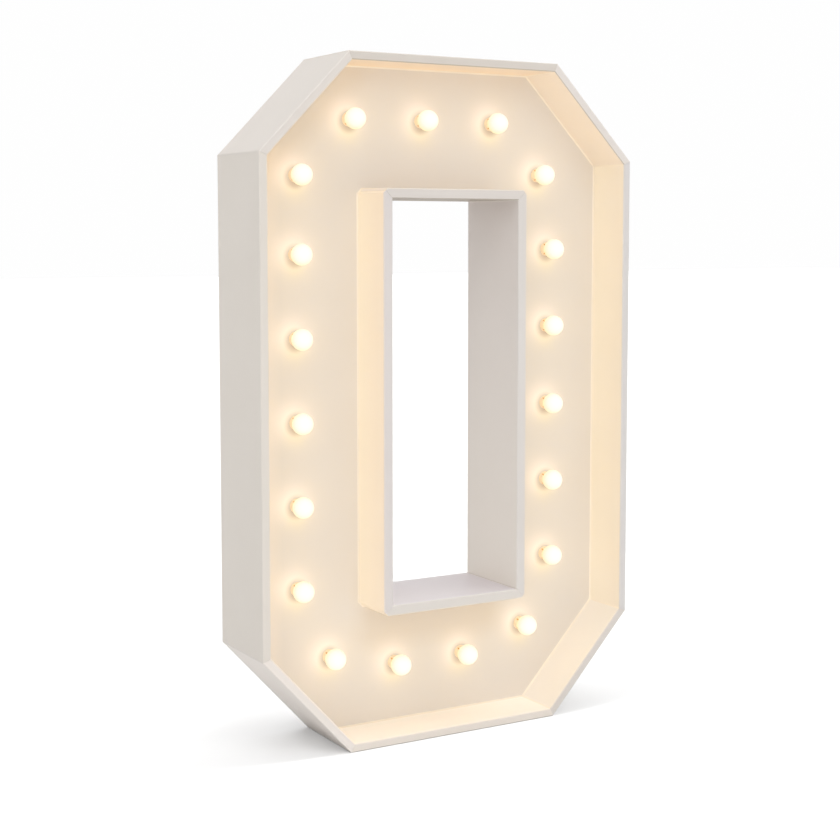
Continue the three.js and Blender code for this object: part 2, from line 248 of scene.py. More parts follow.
# two ways for a piece's own Z to point, as turns
outOfFace = (math.pi / 2, 0, 0)
outOfBack = (-math.pi / 2, 0, 0)


def joinLoops(shape, loops):  # walls from each loop to the next, and from the last to the first
    for index, loop in enumerate(loops):
        other = loops[(index + 1) % len(loops)]
        for corner in range(len(loop)):
            after = (corner + 1) % len(loop)
            shape.faces.new((loop[corner], loop[after], other[after], other[corner]))


def addBar(shape, points, front, back):  # an outline in X and Z, run along Y from front to back
    ends = []
    for along in (front, back):
        ends.append([shape.verts.new((point.x, along, point.y)) for point in points])
    shape.faces.new(ends[0])
    shape.faces.new(ends[1][::-1])
    for corner in range(len(points)):
        after = (corner + 1) % len(points)
        shape.faces.new((ends[0][corner], ends[0][after], ends[1][after], ends[1][corner]))


# the lamps, and where each one's axis meets the face
lamps = [name for name in sorted(nodes) if name.startswith("bulb_")]
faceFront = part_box("face_panel")[0].y


def lampPlace(name):
    low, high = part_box(name)
    return (low.x + high.x) / 2, faceFront, (low.z + high.z) / 2


lampPlaces = [lampPlace(name) for name in lamps]


# the camera stands to the object's left and looks a little down, with a small drop of the lens
camera = {
    "place": (-1.5092, -2.5240, 0.9073),
    "turned": 30.446,
    "tipped": 4.802,
    "lens": 68.8,
    "sensor": 36,
    "drop": 50 / 840,
    "farthest": 100,
}


def makeCamera():
    data = bpy.data.cameras.new("camera")
    data.lens = camera["lens"]
    data.sensor_width = camera["sensor"]
    data.shift_y = -camera["drop"]
    data.clip_end = camera["farthest"]
    eye = bpy.data.objects.new("camera", data)
    bpy.context.scene.collection.objects.link(eye)
    eye.location = camera["place"]
    eye.rotation_euler = (math.radians(90 - camera["tipped"]), 0, -math.radians(camera["turned"]))
    bpy.context.scene.camera = eye
    print("camera placed")


# satin paint over boards: a roller's stipple, faint clouds of tone and of wear
paint = {
    "colour": (233, 226, 218),
    "cloud": (228, 220, 211),
    "cloudScale": 6,
    "cloudDetail": 4,
    "roughness": 0.42,
    "wear": 0.1,
    "wearScale": 40,
    "detail": 3,
    "stippleScale": 850,
    "stippleDepth": 0.00012,
    "stippleStrength": 0.25,
}


def times(shares, colour):
    return tuple(share * value for share, value in zip(shares, colour))


# satin paint in one tone; lampsAt makes it the face's, lit puts lamp light on walls, under paints shade
# on what looks down, dull paints shade on the edge between the rim and the first lit wall
def makePaint(name, tone=(1, 1, 1), lampsAt=(), under=None, lit=(), dull=False, glow=(0, 0, 0)):
    finish = Finish(name)
    first = times(tone, linear(*paint["colour"]))
    second = times(tone, linear(*paint["cloud"]))
    clouds = finish.noise(paint["cloudScale"], paint["cloudDetail"])
    stipple = finish.noise(paint["stippleScale"], paint["detail"])
    rough = paint["roughness"] + paint["wear"] * finish.noise(paint["wearScale"], paint["detail"])
    coat = finish.blend(clouds, first, second)
    if lampsAt:
        coat, glow = faceColours(finish, lampsAt, coat, first)
    for light in lit:
        glow = finish.vector("ADD", glow, wallGlow(finish, *light))
    # painted shade on the eased edge between the rim and the first lit wall
    if dull:
        coat = finish.blend(arris(finish, lit[0][0]), coat, times(boardEdge["dull"], first))
    # painted shade on what looks down
    if under:
        down = finish.between(facingShare(finish, (0, 0, -1)), *facingShares["down"])
        coat = finish.blend(down, coat, times(under, first))
    return finish.surface({
        "Base Color": coat,
        "Roughness": rough,
        "Normal": finish.bump(stipple, paint["stippleStrength"], paint["stippleDepth"]),
        "Emission Color": glow if isinstance(glow, Wire) else (*glow, 1),
        "Emission Strength": 1.0,
    })


# the dim ring round each lampholder, where the globe keeps the room's light off the face
shade = {
    "depth": (0.455, 0.53, 0.48),
    "below": (0.51, 0.45, 0.33),
    "inner": 0.0105,
    "outer": 0.026,
    "shift": (0, 0, 0.0029),
}

# the globe's own light on the face about it, a little up and to the left
halo = {"colour": (0.31, 0.232, 0.222), "reach": 0.0288, "shift": (0.0063, 0, -0.0019)}

# painted warm lamp light on the face under each lamp
paintedLampWarmth = {"tone": (1.0, 0.99, 0.83), "reach": 0.022, "shift": (0, 0, 0.018)}

# painted shade along the top left board and below the inner frame, and painted light along the
# left board; each is whole up to one distance from the board and gone at the other
cornerShade = {"tone": (0.95, 0.925, 0.885), "full": 0.06, "gone": 0.098}
frameShade = {"tone": (0.955, 0.915, 0.86), "full": 0.058, "gone": 0.098}
frameSpan = {"inside": 0.125, "outside": 0.175}
sideLight = {"colour": (0.075, 0.05, 0.03), "full": 0.06, "gone": 0.083}


# the face's coat with its painted shade, and the painted light on it
def faceColours(finish, places, coat, first):
    warm = nearTo(finish, places, paintedLampWarmth)
    ring = finish.blend(warm, times(shade["depth"], first), times(shade["below"], first))
    coat = finish.blend(belowFrame(finish), coat, times(frameShade["tone"], first))
    coat = finish.blend(byTopLeft(finish), coat, times(cornerShade["tone"], first))
    coat = finish.blend(warm, coat, times(paintedLampWarmth["tone"], first))
    coat = finish.blend(clearOf(finish, places), ring, coat)
    byLamps = finish.blend(nearTo(finish, places, halo), (0, 0, 0), halo["colour"])
    bySide = finish.blend(byLeftWall(finish), (0, 0, 0), sideLight["colour"])
    return coat, finish.vector("ADD", byLamps, bySide)


def awayFrom(finish, places, shift):  # distance to the nearest place
    where = finish.vector("ADD", finish.place(), shift)
    nearest = None
    for place in places:
        distance = finish.number("DISTANCE", where, place)
        nearest = nearest.math("MINIMUM", nearest, distance) if nearest else distance
    return nearest


def clearOf(finish, places):  # 0 next to the nearest place, 1 clear of it
    return finish.node("ShaderNodeMapRange", {"interpolation_type": "SMOOTHSTEP"}, {
        "Value": awayFrom(finish, places, shade["shift"]),
        "From Min": shade["inner"],
        "From Max": shade["outer"],
    })


def nearTo(finish, places, spot):  # 1 at the nearest place, falling off as a bell curve
    reach = awayFrom(finish, places, spot["shift"]) * (1 / spot["reach"])
    return finish.node("ShaderNodeMath", {"operation": "EXPONENT"}, {0: -1 * reach * reach})


def belowFrame(finish):  # 1 on the face just below the inner frame
    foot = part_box("inner_bottom_board")[0].z
    up = finish.along("Z")
    near = finish.between(up, foot - frameShade["gone"], foot - frameShade["full"])
    near = near * finish.between(up, foot + frameShade["full"], foot)  # nothing above the opening
    across = finish.along("X").size()
    return near * finish.between(across, frameSpan["outside"], frameSpan["inside"])


def byTopLeft(finish):  # 1 on the face along the top left board
    corner = (cadBox[0].x + joinery["across"], 0, cadBox[1].z)
    inward = Vector((joinery["topUp"], 0, -joinery["across"])).normalized()
    away = finish.number("DOT_PRODUCT", finish.vector("SUBTRACT", finish.place(), corner), inward)
    return finish.between(away, cornerShade["gone"], cornerShade["full"])


def byLeftWall(finish):  # 1 on the face along the left board
    left = cadBox[0].x
    return finish.between(finish.along("X"), left + sideLight["gone"], left + sideLight["full"])


def facingShare(finish, facing):  # 1 where the surface looks that way
    return finish.number("DOT_PRODUCT", finish.node("ShaderNodeNewGeometry", output=1), facing)


# the shares at which a tone starts and at which it is whole
facingShares = {"down": (0.3, 0.9), "wall": (0.55, 0.7), "offFront": (0.5, 0.2), "edge": (0.1, 0.35)}
ahead = (0, -1, 0)  # the way the face looks
behindFace = 0.002  # how far the walls' light runs on behind the face


# light on a wall that looks the way facing says, from one colour to another along a span of Y or Z
def wallGlow(finish, facing, first, last, axis, start, end):
    mask = finish.between(facingShare(finish, facing), *facingShares["wall"])
    mask = mask * finish.between(facingShare(finish, ahead), *facingShares["offFront"])
    along = finish.along(axis)
    if axis == "Y":  # nothing further behind the face is lit
        mask = mask * finish.between(along, start + behindFace, start)
    on = finish.between(along, start, end)
    return finish.blend(mask, (0, 0, 0), finish.blend(on, first, last))


def arris(finish, facing):  # 1 on the eased edge between the rim and that wall
    side = finish.between(facingShare(finish, facing), *facingShares["edge"])
    return side * finish.between(facingShare(finish, ahead), *facingShares["edge"])


# painted light and shade: each board's coat made lighter or darker, in red, green and blue, for how the
# light falls on it
boardLitTones = {
    "outer_top_board": (0.92, 0.91, 0.9),
    "outer_top_right_board": (1.05, 1.05, 1.07),
    "outer_right_board": (0.931, 0.958, 1.012),
    "outer_bottom_right_board": (0.952, 0.951, 0.96),
    "outer_bottom_board": (1.1, 1.085, 1.07),
    "outer_bottom_left_board": (1.155, 1.15, 1.165),
    "outer_left_board": (1.02, 1.02, 1.01),
    "outer_top_left_board": (1.02, 1.02, 1.03),
    "inner_top_board": (0.97, 0.97, 0.99),
    "inner_left_board": (0.98, 0.98, 1.03),
    "inner_bottom_board": (0.99, 1.0, 1.01),
    "inner_right_board": (0.97, 0.985, 1.015),
}
faceTone = (0.985, 0.99, 0.995)
coverTone = (0.99, 0.99, 0.99)
# painted shade on what looks down: the head of the opening, and a dark line along the foot of the
# bottom board
boardUnderShade = {"inner_top_board": (0.54, 0.49, 0.42), "outer_bottom_board": (0.35, 0.34, 0.32)}
# eased board edges, with painted shade on the edge between the rim and the lit wall of the top and top
# right boards
boardEdge = {"radius": 0.0007, "segments": 3, "dull": (0.7, 0.67, 0.64)}
coverEdge = {"radius": 0.0006, "segments": 2}
shadedEdgeBoards = ["outer_top_board", "outer_top_right_board"]

# lamp light on each wall of the channel: the wall's way, the light by the face, the light by the rim
channelLight = {
    "outer_top_board": ((0, 0, -1), (0.18, 0.08, 0.0), (0.1, 0.04, 0.0)),
    "outer_top_right_board": ((-0.717, 0, -0.697), (0.06, 0.03, 0.0), (0.06, 0.03, 0.0)),
    "outer_right_board": ((-1, 0, 0), (0.19, 0.145, 0.06), (0.14, 0.095, 0.03)),
    "outer_bottom_right_board": ((-0.735, 0, 0.678), (0.13, 0.13, 0.12), (0.11, 0.11, 0.09)),
    "outer_bottom_board": ((0, 0, 1), (0.13, 0.14, 0.14), (0.05, 0.06, 0.07)),
    "outer_bottom_left_board": ((0.735, 0, 0.678), (0.12, 0.13, 0.14), (0.04, 0.05, 0.07)),
    "outer_left_board": ((1, 0, 0), (0.19, 0.145, 0.06), (0.14, 0.095, 0.03)),
    "outer_top_left_board": ((0.717, 0, -0.697), (0.19, 0.11, 0.03), (0.12, 0.07, 0.03)),
    "inner_top_board": ((0, 0, 1), (0.12, 0.11, 0.1), (0.07, 0.06, 0.06)),
    "inner_left_board": ((-1, 0, 0), (0.175, 0.15, 0.065), (0.115, 0.085, 0.035)),
    "inner_bottom_board": ((0, 0, -1), (0.15, 0.11, 0.06), (0.11, 0.08, 0.04)),
    "inner_right_board": ((1, 0, 0), (0.175, 0.15, 0.065), (0.115, 0.085, 0.035)),
}

# the room's light inside the opening: the wall's way, the light at the head, the light at the sill
openingLight = {
    "inner_right_board": ((-1, 0, 0), (0.01, 0.0, 0.0), (0.085, 0.075, 0.05)),
    "inner_left_board": ((1, 0, 0), (0.01, 0.0, 0.0), (0.085, 0.075, 0.05)),
    "inner_bottom_board": ((0, 0, 1), (0.035, 0.03, 0.075), (0.035, 0.03, 0.075)),
}


def dressBoards():
    head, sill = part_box("inner_top_board")[0].z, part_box("inner_bottom_board")[1].z
    for node, tone in boardLitTones.items():
        lit = [(*channelLight[node], "Y", faceFront, cadBox[0].y)]
        if node in openingLight:
            lit.append((*openingLight[node], "Z", head, sill))
        under, dull = boardUnderShade.get(node), node in shadedEdgeBoards
        dress(node, makePaint("paint_" + node, tone, under=under, lit=lit, dull=dull))
        easeEdges(node, boardEdge["radius"], boardEdge["segments"], Vector(ahead))
    dress("face_panel", makePaint("paint_face_panel", faceTone, lampPlaces))
    dress("rear_cover", makePaint("paint_rear_cover", coverTone))
    easeEdges("rear_cover", coverEdge["radius"], coverEdge["segments"])
    print("boards painted:", len(boardLitTones) + 2)


# the frames' outlines, and the bead of painted filler in their inside joints
joinery = {
    "across": 0.169,
    "topUp": 0.174,
    "bottomUp": 0.183,
    "board": 0.015,
    "clip": 0.0085,
    "arris": 0.0015,
    "bead": 0.0025,
    "cornerBead": 0.0016,
    "overlap": 0.0025,
    "skin": 0.00012,
    "sunk": 0.0004,
    "steps": 4,
    "beadSharp": 50,
    "skinSharp": 60,
}


def outline():  # outer faces of the eight outer boards, anticlockwise from the lower right
    side, top = cadBox[1].x, cadBox[1].z
    across, topUp, bottomUp = joinery["across"], joinery["topUp"], joinery["bottomUp"]
    corners = [
        (side - across, 0), (side, bottomUp), (side, top - topUp), (side - across, top),
        (across - side, top), (-side, top - topUp), (-side, bottomUp), (across - side, 0),
    ]
    return [Vector(corner) for corner in corners]


def outerWalls():  # their inner faces
    return insetLoop(outline(), joinery["board"])


def opening():  # inner faces of the four inner boards, anticlockwise from the lower right
    left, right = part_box("inner_left_board")[1].x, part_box("inner_right_board")[0].x
    low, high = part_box("inner_bottom_board")[1].z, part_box("inner_top_board")[0].z
    return [Vector((right, low)), Vector((right, high)), Vector((left, high)), Vector((left, low))]


def innerWalls():  # channel faces of the inner boards, with the clipped corners
    left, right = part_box("inner_left_board")[0].x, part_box("inner_right_board")[1].x
    low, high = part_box("inner_bottom_board")[0].z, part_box("inner_top_board")[1].z
    clip = joinery["clip"]
    corners = [
        (right - clip, low), (right, low + clip), (right, high - clip), (right - clip, high),
        (left + clip, high), (left, high - clip), (left, low + clip), (left + clip, low),
    ]
    return [Vector(corner) for corner in corners]


def insetLoop(points, distance):
    moved = []
    for index, here in enumerate(points):
        first = (here - points[index - 1]).normalized()
        second = (points[(index + 1) % len(points)] - here).normalized()
        sideFirst, sideSecond = Vector((-first.y, first.x)), Vector((-second.y, second.x))
        moved.append(here + (sideFirst + sideSecond) * distance / (1 + sideFirst.dot(sideSecond)))
    return moved


# a bead round the face where it meets a ring of walls; inward is -1 where the channel is outside them
def faceBead(name, walls, inward, material):
    leg, sunk, steps = joinery["bead"], joinery["sunk"], joinery["steps"]
    section = [(-sunk, -leg), (-sunk, sunk), (leg, sunk)]
    for step in range(steps + 1):
        angle = math.pi / 2 * (1 + step / steps)
        section.append((leg + leg * math.cos(angle), leg * math.sin(angle) - leg))
    shape = bmesh.new()
    loops = []
    for away, along in section:
        loop = insetLoop(walls, inward * away)
        loops.append([shape.verts.new((point.x, faceFront + along, point.y)) for point in loop])
    joinLoops(shape, loops)
    mesh = finishMesh(name, shape, material, joinery["beadSharp"])
    meshPiece(name, mesh, "casing")


# a bead along Y in each corner of a ring of walls
def cornerBeads(name, walls, front, back, material):
    leg, sunk, steps = joinery["cornerBead"], joinery["sunk"], joinery["steps"]
    shape = bmesh.new()
    for index, here in enumerate(walls):
        first = here + (walls[index - 1] - here).normalized() * leg
        last = here + (walls[(index + 1) % len(walls)] - here).normalized() * leg
        outside = here - (first + last - 2 * here).normalized() * sunk
        points = [outside]
        for step in range(steps + 1):
            share = step / steps
            points.append((1 - share) ** 2 * first + 2 * share * (1 - share) * here + share ** 2 * last)
        addBar(shape, points, front, back)
    mesh = finishMesh(name, shape, material, joinery["beadSharp"])
    meshPiece(name, mesh, "casing")


# a skin of paint along Y over each outside joint of the outer frame
def jointSkins(name, corners, front, back, material):
    overlap, skin = joinery["overlap"], joinery["skin"]
    shape = bmesh.new()
    over, under = insetLoop(corners, -skin), insetLoop(corners, skin)
    for index, here in enumerate(over):
        first = here + (over[index - 1] - here).normalized() * overlap
        last = here + (over[(index + 1) % len(over)] - here).normalized() * overlap
        below = under[index]
        points = [first, here, last, below + last - here, below, below + first - here]
        points = [Vector((point.x, max(point.y, 0))) for point in points]  # nothing under the floor
        addBar(shape, points, front, back)
    mesh = finishMesh(name, shape, material, joinery["skinSharp"])
    meshPiece(name, mesh, "casing")


fillerGlow = (0.12, 0.095, 0.05)  # lamp light on the filler in the channel


def addFiller():
    coat, litCoat = makePaint("paintFiller"), makePaint("paintLitFiller", glow=fillerGlow)
    front, back = cadBox[0].y + joinery["arris"], cadBox[1].y - joinery["arris"]
    faceBead("fillerOuter", outerWalls(), 1, litCoat)
    faceBead("fillerInner", innerWalls(), -1, litCoat)
    cornerBeads("fillerChannel", outerWalls(), front, faceFront, litCoat)
    cornerBeads("fillerOpening", opening(), front, back, coat)
    jointSkins("fillerOutside", outline(), front, back, coat)
    print("filler run in")


# an opal globe on a screw cap; distances along the lamp's axis are measured out from the face
bulbLow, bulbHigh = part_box(lamps[0])
bulb = {
    "globeRadius": (bulbHigh.x - bulbLow.x) / 2,
    "globeFront": faceFront - bulbLow.y,
    "tipEnd": faceFront - bulbHigh.y,
    "neckRadius": 0.0085,
    "neckLength": 0.0016,
    "threadRadius": 0.0068,
    "threadDepth": 0.0005,
    "threadPitch": 0.0028,
    "threadStart": 0.0035,
    "threadFoot": 0.2,
    "tipRadius": 0.0032,
    "tipLength": 0.003,
    "tipShape": [(0.8, 0.0), (1.0, 0.3), (1.15, 0.6)],  # shares of its radius and of its length
    "capGap": 0.0001,
    "glow": 0.96,
    "opal": (0.05, 0.045, 0.04),
    "roughness": 0.35,
    "shine": 0.2,
    "bright": (-0.22, 0.17, 0.96),  # the way to the globe's brightest spot: across, up and out
    "glows": [  # share of the way to the brightest spot, and the colour there
        (0.0, (255, 205, 130)),
        (0.3, (255, 222, 150)),
        (0.52, (254, 242, 199)),
        (0.7, (254, 249, 222)),
        (0.8, (254, 252, 238)),
        (0.9, (254, 253, 247)),
        (1.0, (254, 254, 254)),
    ],
}
globeMiddle = bulb["globeFront"] - bulb["globeRadius"]
globeBack = globeMiddle - math.sqrt(bulb["globeRadius"] ** 2 - bulb["neckRadius"] ** 2)
bulbSteps = {"globeRows": 28, "globeAround": 64, "capRows": 60, "capAround": 48}

# bare metals: a bright and a dull colour mixed by wear, the scale of the wear, the least roughness
metals = {
    "capBrass": ((214, 178, 108), (186, 146, 80), 900, 0.24),
    "screwSteel": ((206, 206, 204), (170, 170, 170), 1500, 0.25),
    "pinSteel": ((214, 208, 196), (186, 180, 170), 1500, 0.25),
}
metalWear = {"roughness": 0.2, "detail": 3}


def makeMetal(name):
    finish = Finish(name)
    bright, dull, scale, roughness = metals[name]
    wear = finish.noise(scale, metalWear["detail"])
    return finish.surface({
        "Base Color": finish.blend(wear, linear(*bright), linear(*dull)),
        "Metallic": 1.0,
        "Roughness": roughness + metalWear["roughness"] * wear,
    })


def makeOpal():
    finish = Finish("opalGlobe")
    out = finish.vector("SUBTRACT", finish.place(), (0, 0, globeMiddle))
    toward = finish.number("DOT_PRODUCT", out, bulb["bright"])
    share = 0.5 + toward * (0.5 / bulb["globeRadius"])
    stops = [(place, linear(*colour)) for place, colour in bulb["glows"]]
    return finish.surface({
        "Base Color": (*bulb["opal"], 1),
        "Roughness": bulb["roughness"],
        "Specular IOR Level": bulb["shine"],
        "Emission Color": finish.node("ShaderNodeValToRGB", {"stops": stops}, {"Fac": share}),
        "Emission Strength": bulb["glow"],
    })


def globeMesh(material):
    first = math.asin(bulb["neckRadius"] / bulb["globeRadius"])
    neckEnd = globeBack - bulb["neckLength"]
    profile = [(0, neckEnd), (bulb["neckRadius"], neckEnd)]
    rows = bulbSteps["globeRows"]
    for row in range(rows):
        angle = first + (math.pi - first) * row / rows
        radius = bulb["globeRadius"] * math.sin(angle)
        profile.append((radius, globeMiddle - bulb["globeRadius"] * math.cos(angle)))
    profile.append((0, bulb["globeFront"]))
    angles = evenAngles(bulbSteps["globeAround"])
    return turnedMesh("globe", lambda angle: profile, angles, material)


def capMesh(material):
    tip = bulb["tipEnd"]
    top = globeBack - bulb["neckLength"] - bulb["capGap"]
    bottom = tip + bulb["tipLength"]
    rows, start = bulbSteps["capRows"], bulb["threadStart"]

    def profileAt(angle):
        points = [(0, tip)]
        for wide, long in bulb["tipShape"]:
            points.append((bulb["tipRadius"] * wide, tip + bulb["tipLength"] * long))
        for row in range(rows + 1):
            along = bottom + (top - bottom) * row / rows
            wave = math.sin(2 * math.pi * along / bulb["threadPitch"] - angle)
            fade = min(1, (top - along) / start, (along - bottom) / start + bulb["threadFoot"])
            rise = bulb["threadDepth"] * (wave * fade + fade - 1)
            points.append((bulb["threadRadius"] + rise, along))
        return points + [(0, top)]

    return turnedMesh("cap", profileAt, evenAngles(bulbSteps["capAround"]), material)


# what the lamps and the object's suns light, and what the floor's suns light
objectOnly = bpy.data.collections.new("objectOnly")
floorOnly = bpy.data.collections.new("floorOnly")

# a warm light inside each globe; the globe itself only shows
warmth = {"colour": (1.0, 0.667, 0.15), "power": 0.045, "radius": 0.016, "out": 0.06}


def addBulbs():
    globe, cap = globeMesh(makeOpal()), capMesh(makeMetal("capBrass"))
    for name, place in zip(lamps, lampPlaces):
        label = name.split("_")[1]
        shown = meshPiece("globe" + label, globe, name, place, outOfFace, [name])
        shown.visible_diffuse = False
        shown.visible_shadow = False
        meshPiece("cap" + label, cap, name, place, outOfFace)
        data = bpy.data.lights.new("warmth" + label, "POINT")
        data.color = warmth["colour"]
        data.energy = warmth["power"]
        data.shadow_soft_size = warmth["radius"]
        light = bpy.data.objects.new("warmth" + label, data)
        light.parent = shown
        light.location = (0, 0, warmth["out"])
        light.visible_camera = False
        light.light_linking.receiver_collection = objectOnly
        bpy.context.scene.collection.objects.link(light)
    print("bulbs fitted:", len(lamps))


# a moulded lampholder: notched collar in front, ring nut and shell behind
holderLow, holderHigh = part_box("lampholder_01")
holder = {
    "collarReach": faceFront - holderLow.y,
    "end": faceFront - holderHigh.y,
    "ringRadius": (holderHigh.x - holderLow.x) / 2,
    "collarRadius": 0.0127,
    "collarLip": 0.0012,
    "seat": 0.0003,
    "neckRadius": 0.0105,
    "boreRadius": 0.0075,
    "boreFloor": -0.0155,
    "ringFront": -0.0093,
    "ringThickness": 0.0045,
    "ringGrips": 12,
    "gripDepth": 0.0008,
    "shellRadius": 0.0103,
    "notches": 4,
    "notchWidth": 0.0022,
    "notchDepth": 0.0034,
    "notchLean": 0.05,
    "lipShare": 0.3,
    "edge": 0.0004,
    "steps": 14,
    "sharp": 30,
}

# its pale plastic, with painted lamp light from the globe on the collar and painted shade in its
# notches
plastic = {
    "colour": (208, 192, 162),
    "shade": (192, 170, 132),
    "cloudScale": 300,
    "roughness": 0.38,
    "spread": 0.12,
    "grainScale": 2600,
    "grainStrength": 0.2,
    "grainDepth": 0.00005,
    "detail": 3,
    "grainDetail": 2,
    "lampLightLevel": 0.5,
    # painted lamp light from the globe on the collar
    "glows": [  # share of the way from the face to the collar's front, and the colour there
        (0.0, (246, 219, 176)),
        (1.0, (222, 194, 168)),
    ],
    "notchShade": (206, 162, 100),
    "notchLampLight": 0.5,
    "notchSpill": 1.15,
    "notchBlur": 0.0003,
}


def makeHolderPlastic():
    finish = Finish("holderPlastic")
    cloud = finish.noise(plastic["cloudScale"], plastic["detail"])
    grain = finish.noise(plastic["grainScale"], plastic["grainDetail"])
    along = finish.along("Z")
    share = along * (1 / holder["collarReach"])
    stops = [(place, linear(*colour)) for place, colour in plastic["glows"]]
    lit = finish.node("ShaderNodeValToRGB", {"stops": stops}, {"Fac": share})
    coat = finish.blend(cloud, linear(*plastic["colour"]), linear(*plastic["shade"]))
    cut, dark = inNotch(finish, along), linear(*plastic["notchShade"])
    return finish.surface({
        # painted shade in the notches
        "Base Color": finish.blend(cut, coat, dark),
        "Roughness": plastic["roughness"] + plastic["spread"] * cloud,
        "Normal": finish.bump(grain, plastic["grainStrength"], plastic["grainDepth"]),
        # painted lamp light on the collar, less of it in the notches
        "Emission Color": finish.blend(cut, lit, times((plastic["notchLampLight"],) * 3, dark)),
        "Emission Strength": plastic["lampLightLevel"],
    })


def inNotch(finish, along):  # 1 in the collar's notches, which stand on the diagonals
    gap = (finish.along("X").size() - finish.along("Y").size()).size()
    half, floor = holder["notchWidth"] / math.sqrt(2), holder["collarReach"] - holder["notchDepth"]
    side = finish.between(gap, half * plastic["notchSpill"], half)
    return side * finish.between(along, floor - plastic["notchBlur"], floor)


def holderMesh(material):
    half = holder["notchWidth"] / holder["collarRadius"] / 2
    side = half * holder["notchLean"]  # a notch's walls lean by this much
    turn = 2 * math.pi / holder["notches"]
    steps = holder["steps"]
    middles = [turn / 2 + turn * index for index in range(holder["notches"])]
    angles = []
    for middle in middles:
        start, end = middle + half, middle + turn - half
        angles += [middle - half, middle - half + side, middle, middle + half - side, middle + half]
        angles += [start + (end - start) * step / steps for step in range(1, steps)]

    top, end, seat, floor = holder["collarReach"], holder["end"], holder["seat"], holder["boreFloor"]
    shell, neck, bore = holder["shellRadius"], holder["neckRadius"], holder["boreRadius"]
    collar, lip, edge = holder["collarRadius"], holder["collarLip"], holder["edge"]
    ringFront, ringBack = holder["ringFront"], holder["ringFront"] - holder["ringThickness"]
    middle, eased = (bore + collar) / 2, lip * holder["lipShare"]

    def profileAt(angle):
        grip = holder["gripDepth"] * (0.5 + 0.5 * math.cos(holder["ringGrips"] * angle))
        ring = holder["ringRadius"] - grip
        cut = any(abs(angle - place) < half - side / 2 for place in middles)
        front = top - (holder["notchDepth"] if cut else 0)
        return [
            (0, end), (shell - lip, end), (shell, end + lip),
            (shell, ringBack), (ring - edge, ringBack), (ring, ringBack + edge),
            (ring, ringFront - edge), (ring - edge, ringFront),
            (neck, ringFront), (neck, seat), (collar, seat),
            (collar, front - lip), (collar - eased, front - eased), (collar - lip, front),
            (middle, front), (middle - edge / 2, top), (bore + edge, top), (bore, top - edge),
            (bore, floor), (0, floor),
        ]

    return turnedMesh("lampholder", profileAt, angles, material, holder["sharp"])


def addHolders():
    mesh = holderMesh(makeHolderPlastic())
    for name, place in zip(lamps, lampPlaces):
        label = name.split("_")[1]
        replaced = ["lampholder_" + label]
        meshPiece("lampholder" + label, mesh, "casing", place, outOfFace, replaced)
    print("lampholders fitted:", len(lamps))


# moulded black parts of the power entry
black = {
    "colour": (34, 34, 36),
    "cloud": (44, 44, 46),
    "cloudScale": 400,
    "spread": 0.1,
    "grainScale": 3000,
    "grainStrength": 0.25,
    "grainDepth": 0.00006,
    "detail": 3,
    "grainDetail": 2,
    "bodyRoughness": 0.42,
    "rockerRoughness": 0.22,
    "edge": 0.0004,
    "bodySegments": 2,
    "rockerSegments": 3,
}

# the pale leads and terminal block behind the face
sheath = {
    "lead": (226, 222, 214),
    "block": (232, 230, 222),
    "cloud": (0.88, 0.88, 0.88),
    "cloudScale": 220,
    "detail": 3,
    "roughness": 0.45,
    "spread": 0.12,
}


def makeBlack(name, roughness):
    finish = Finish(name)
    cloud = finish.noise(black["cloudScale"], black["detail"])
    grain = finish.noise(black["grainScale"], black["grainDetail"])
    return finish.surface({
        "Base Color": finish.blend(cloud, linear(*black["colour"]), linear(*black["cloud"])),
        "Roughness": roughness + black["spread"] * cloud,
        "Normal": finish.bump(grain, black["grainStrength"], black["grainDepth"]),
    })


def makeSheath(name, colour):
    finish = Finish(name)
    cloud = finish.noise(sheath["cloudScale"], sheath["detail"])
    first = linear(*colour)
    return finish.surface({
        "Base Color": finish.blend(cloud, first, times(sheath["cloud"], first)),
        "Roughness": sheath["roughness"] + sheath["spread"] * cloud,
    })


def dressEntry():
    for node in ("power_inlet", "switch_body"):
        dress(node, makeBlack("black_" + node, black["bodyRoughness"]))
        easeEdges(node, black["edge"], black["bodySegments"])
    dress("switch_rocker", makeBlack("blackRocker", black["rockerRoughness"]))
    easeEdges("switch_rocker", black["edge"], black["rockerSegments"])
    for node in ("inlet_lead", "switch_lead", "lamp_wiring"):
        dress(node, makeSheath("sheath_" + node, sheath["lead"]))
    dress("terminal_block", makeSheath("terminalPlastic", sheath["block"]))
    easeEdges("terminal_block", black["edge"], black["bodySegments"])
    print("power entry dressed")


# pan head screws round the rear cover
screw = {
    "headRadius": 0.0034,
    "headHeight": 0.0021,
    "headRim": 0.25,
    "rows": 8,
    "around": 32,
    "sharp": 30,
    "inset": 0.0046,
    "spacing": 0.17,
    "endShare": 0.12,
    "crossWidth": 0.0011,
    "crossLength": 0.0038,
    "crossDepth": 0.0012,
    "turn": 23,
}


